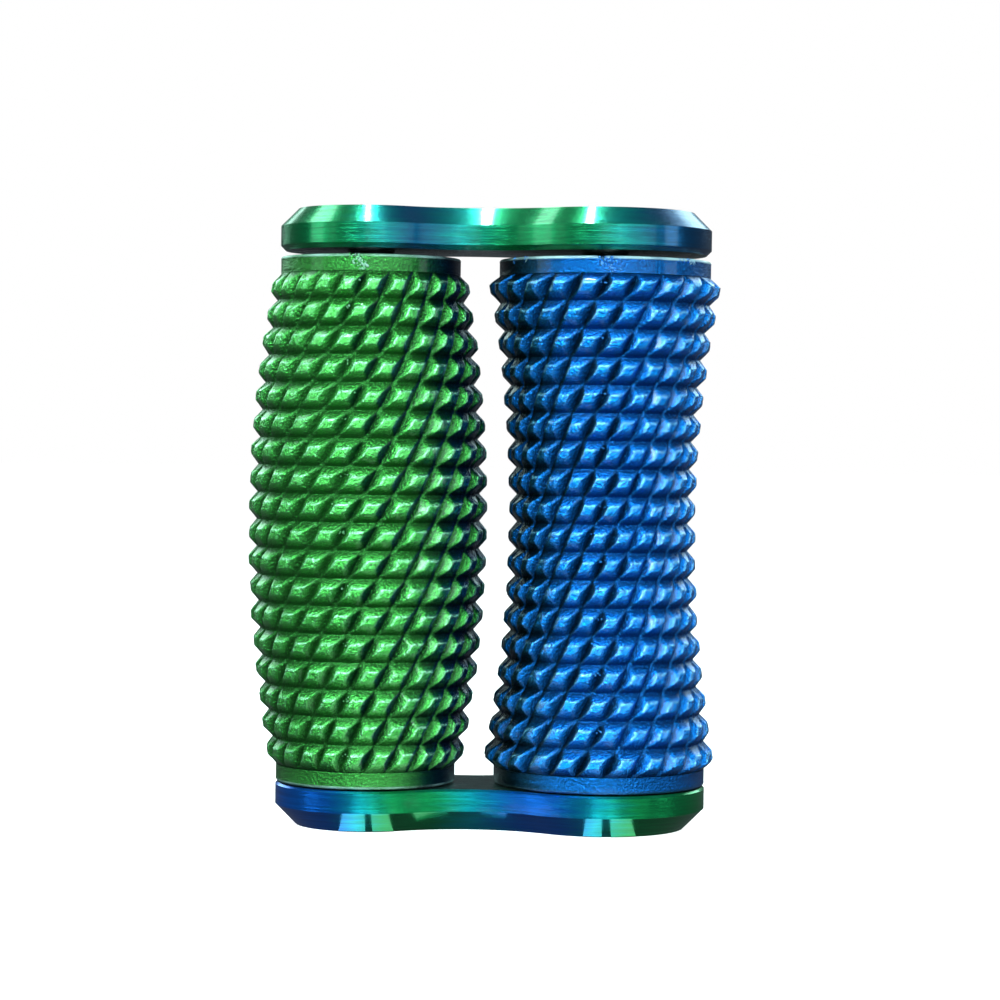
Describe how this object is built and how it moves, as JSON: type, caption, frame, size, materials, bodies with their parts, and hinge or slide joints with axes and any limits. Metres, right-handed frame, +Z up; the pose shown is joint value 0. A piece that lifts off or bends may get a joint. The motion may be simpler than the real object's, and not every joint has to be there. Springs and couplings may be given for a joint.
{
  "type": "foot massage roller",
  "caption": "Hand-sized foot massager: a studded barrel roller and a studded hourglass roller turning side by side between two figure-eight end plates.",
  "frame": {"origin": "on the bottom plate's outer face, midway between the two axles", "axes": "+Z up along the roller axes, +X along the plates from the barrel roller to the hourglass roller, front faces -Y"},
  "size_m": [0.1142, 0.0582, 0.15],
  "materials": {
    "printed_plate": "two-colour silk printed plastic, green to blue with the viewing side",
    "printed_green": "two-colour silk printed plastic, mostly green",
    "printed_blue": "two-colour silk printed plastic, mostly blue",
    "axle_steel": "drawn bright steel",
    "screw_steel": "zinc-plated steel",
    "bearing_steel": "ground bearing steel",
    "spacer_alu": "turned aluminium",
    "cage_nylon": "moulded nylon"
  },
  "bodies": {
    "frame": {"bottom_end_plate": "printed_plate", "top_end_plate": "printed_plate", "barrel_axle": "axle_steel", "barrel_lower_washer": "screw_steel", "barrel_lower_screw": "screw_steel", "barrel_lower_collar": "spacer_alu", "barrel_upper_washer": "screw_steel", "barrel_upper_screw": "screw_steel", "barrel_upper_collar": "spacer_alu", "hourglass_axle": "axle_steel", "hourglass_lower_washer": "screw_steel", "hourglass_lower_screw": "screw_steel", "hourglass_lower_collar": "spacer_alu", "hourglass_upper_washer": "screw_steel", "hourglass_upper_screw": "screw_steel", "hourglass_upper_collar": "spacer_alu"},
    "barrel_lower_cage_body": {"barrel_lower_ball_cage": "cage_nylon", "barrel_lower_balls": "bearing_steel"},
    "barrel_upper_cage_body": {"barrel_upper_ball_cage": "cage_nylon", "barrel_upper_balls": "bearing_steel"},
    "barrel_sleeve": {"barrel_spacer_tube": "spacer_alu", "barrel_lower_inner_ring": "bearing_steel", "barrel_upper_inner_ring": "bearing_steel"},
    "barrel": {"barrel_roller": "printed_green", "barrel_lower_outer_ring": "bearing_steel", "barrel_upper_outer_ring": "bearing_steel"},
    "hourglass_lower_cage_body": {"hourglass_lower_ball_cage": "cage_nylon", "hourglass_lower_balls": "bearing_steel"},
    "hourglass_upper_cage_body": {"hourglass_upper_ball_cage": "cage_nylon", "hourglass_upper_balls": "bearing_steel"},
    "hourglass_sleeve": {"hourglass_spacer_tube": "spacer_alu", "hourglass_lower_inner_ring": "bearing_steel", "hourglass_upper_inner_ring": "bearing_steel"},
    "hourglass": {"hourglass_roller": "printed_blue", "hourglass_lower_outer_ring": "bearing_steel", "hourglass_upper_outer_ring": "bearing_steel"}
  },
  "joints": [
    {"name": "barrel_float", "type": "slide", "parent": "frame", "child": "barrel_sleeve", "axis": [0, 0, 1], "range_m": [0, 0.00105]},
    {"name": "barrel_spin", "type": "hinge", "parent": "barrel_sleeve", "child": "barrel", "pos_m": [-0.0286, 0, 0.075], "axis": [0, 0, 1], "continuous": true},
    {"name": "barrel_lower_cage_spin", "type": "hinge", "parent": "barrel_sleeve", "child": "barrel_lower_cage_body", "pos_m": [-0.0286, 0, 0.075], "axis": [0, 0, 1], "continuous": true},
    {"name": "barrel_upper_cage_spin", "type": "hinge", "parent": "barrel_sleeve", "child": "barrel_upper_cage_body", "pos_m": [-0.0286, 0, 0.075], "axis": [0, 0, 1], "continuous": true},
    {"name": "hourglass_float", "type": "slide", "parent": "frame", "child": "hourglass_sleeve", "axis": [0, 0, 1], "range_m": [0, 0.00105]},
    {"name": "hourglass_spin", "type": "hinge", "parent": "hourglass_sleeve", "child": "hourglass", "pos_m": [0.0286, 0, 0.075], "axis": [0, 0, 1], "continuous": true},
    {"name": "hourglass_lower_cage_spin", "type": "hinge", "parent": "hourglass_sleeve", "child": "hourglass_lower_cage_body", "pos_m": [0.0286, 0, 0.075], "axis": [0, 0, 1], "continuous": true},
    {"name": "hourglass_upper_cage_spin", "type": "hinge", "parent": "hourglass_sleeve", "child": "hourglass_upper_cage_body", "pos_m": [0.0286, 0, 0.075], "axis": [0, 0, 1], "continuous": true}
  ],
  "couplings": [
    {"joint": "barrel_lower_cage_spin", "follows": "barrel_spin", "ratio": 0.6323},
    {"joint": "barrel_upper_cage_spin", "follows": "barrel_spin", "ratio": 0.6323},
    {"joint": "hourglass_lower_cage_spin", "follows": "hourglass_spin", "ratio": 0.6323},
    {"joint": "hourglass_upper_cage_spin", "follows": "hourglass_spin", "ratio": 0.6323}
  ]
}
